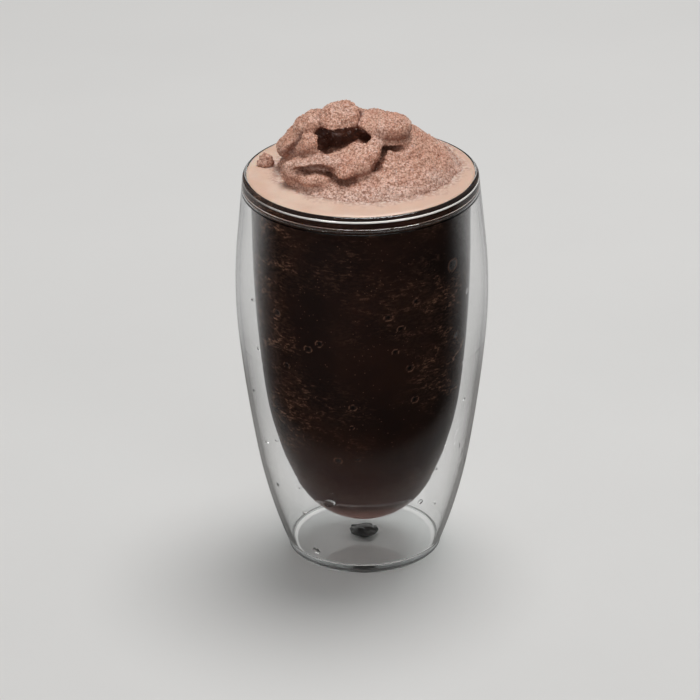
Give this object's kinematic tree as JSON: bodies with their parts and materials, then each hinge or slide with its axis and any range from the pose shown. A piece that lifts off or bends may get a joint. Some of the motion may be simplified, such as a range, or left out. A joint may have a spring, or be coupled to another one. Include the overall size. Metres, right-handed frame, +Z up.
{
  "type": "chocolate milkshake",
  "caption": "Thick chocolate milkshake filled to the brim of a double-walled glass tumbler, with tan froth and a heaped crown of icy slush.",
  "frame": {"origin": "centre of the foot ring, on the surface that the glass stands on", "axes": "+Z up along the axis of the glass; -Y is the side from which the hollow under the peak of the slush shows, with its right-hand lobe towards +X"},
  "size_m": [0.0916, 0.0916, 0.1742],
  "materials": {
    "clear_glass": "clear blown glass, polished",
    "dark_silicone": "satin",
    "dark_shake": "wet, seen through the glass",
    "tan_froth": "smooth, moist",
    "icy_slush": "grainy, frosty"
  },
  "bodies": {
    "root": {"glass": "clear_glass", "vent_plug": "dark_silicone", "shake": "dark_shake", "froth": "tan_froth", "slush_crown": "icy_slush", "peak_lump": "icy_slush", "rim_crumb": "icy_slush"}
  },
  "joints": []
}
